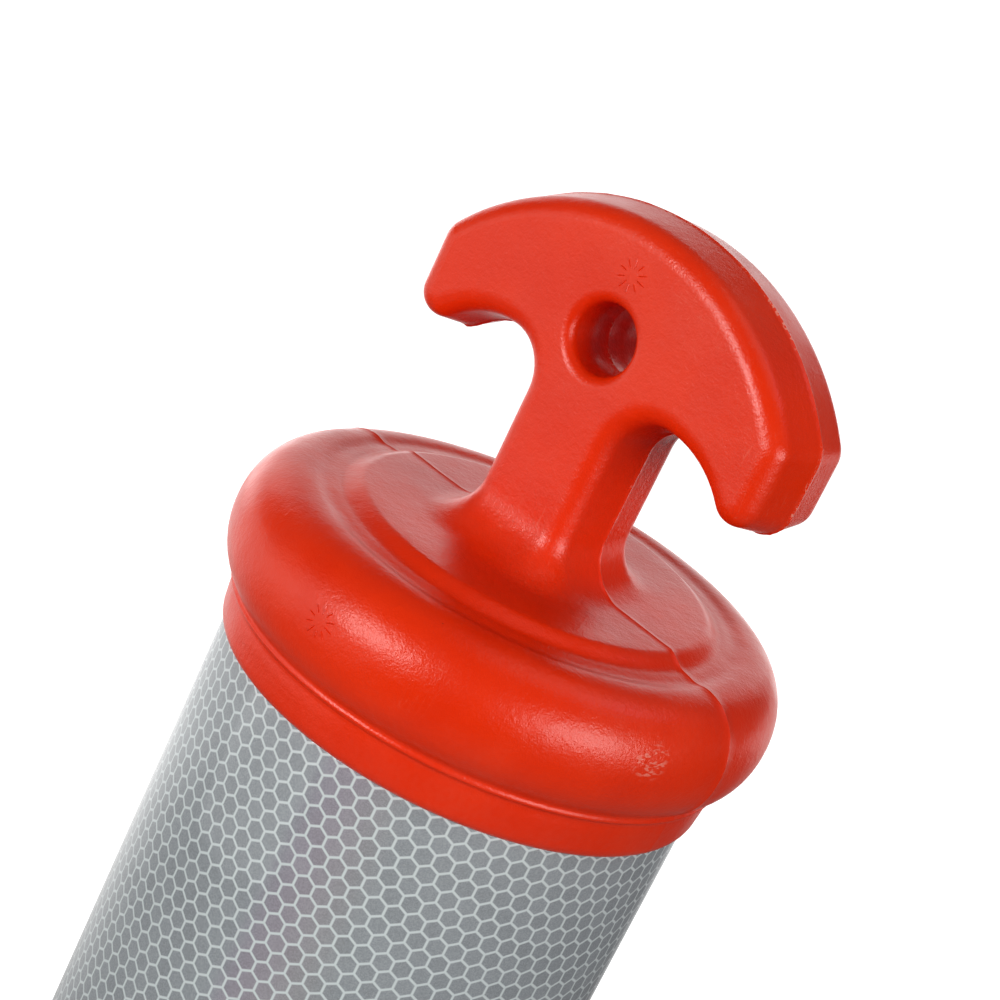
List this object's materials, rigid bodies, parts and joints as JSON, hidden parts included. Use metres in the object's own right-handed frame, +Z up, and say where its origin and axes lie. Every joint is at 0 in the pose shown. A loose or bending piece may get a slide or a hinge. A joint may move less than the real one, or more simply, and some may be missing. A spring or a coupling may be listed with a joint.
{
  "type": "delineator post",
  "caption": "Hollow blow-moulded traffic post with a T-handle, flange, retroreflective bands and an octagonal rubber base that drops over its top.",
  "frame": {"origin": "on the ground, under the post's axis", "axes": "+Z up the post, +X along the handle to its right arm, +Y through the handle's hole to the back"},
  "size_m": [0.38, 0.38, 1.067],
  "materials": {
    "orange_plastic": "satin blow-moulded polyethylene with a fine leathery grain",
    "sheeting": "silver retroreflective honeycomb sheeting",
    "base_rubber": "matt recycled crumb rubber"
  },
  "bodies": {
    "post": {"post_shell": "orange_plastic", "upper_band": "sheeting", "lower_band": "sheeting"},
    "base": {"rubber_base": "base_rubber"}
  },
  "joints": [
    {"name": "base_lift", "type": "slide", "parent": "post", "child": "base", "axis": [0, 0, 1], "range_m": [0, 1.08]}
  ]
}
